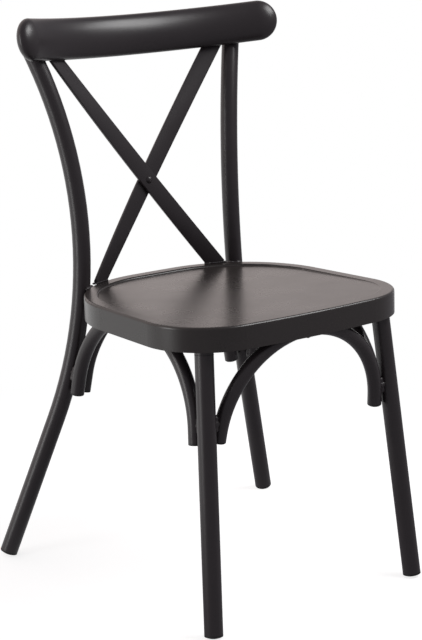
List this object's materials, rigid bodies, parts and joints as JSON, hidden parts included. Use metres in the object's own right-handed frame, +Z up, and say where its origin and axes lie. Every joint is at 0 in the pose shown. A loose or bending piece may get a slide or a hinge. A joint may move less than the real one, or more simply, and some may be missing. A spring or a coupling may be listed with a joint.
{
  "type": "garden chair",
  "caption": "Armless garden chair with a cross back, a crest rail that wraps the sitter, a pressed seat pan, splayed tubular legs and arched braces, powder coated.",
  "frame": {"origin": "on the floor under the middle of the chair's box", "axes": "+Z up, the sitter faces -Y, +X is the sitter's left"},
  "size_m": [0.5538, 0.5206, 0.8623],
  "materials": {
    "frame_coat": "satin dark bronze powder coat",
    "seat_coat": "satin dark bronze powder coat",
    "plugs": "moulded black plastic",
    "fixings": "blackened steel"
  },
  "bodies": {
    "root": {"front_leg_left": "frame_coat", "front_leg_right": "frame_coat", "back_post_left": "frame_coat", "back_post_right": "frame_coat", "leg_socket_left": "frame_coat", "leg_socket_right": "frame_coat", "crest_rail": "frame_coat", "cross_strap_front": "frame_coat", "cross_strap_rear": "frame_coat", "cross_rivet": "frame_coat", "front_arch": "frame_coat", "rear_arch": "frame_coat", "left_arch": "frame_coat", "right_arch": "frame_coat", "arch_spacers": "frame_coat", "seat_pan": "seat_coat", "foot_front_left": "plugs", "foot_front_right": "plugs", "foot_rear_left": "plugs", "foot_rear_right": "plugs", "front_arch_plugs": "plugs", "rear_arch_plugs": "plugs", "left_arch_plugs": "plugs", "right_arch_plugs": "plugs", "arch_pads": "plugs", "arch_pad_screws": "fixings"}
  },
  "joints": []
}
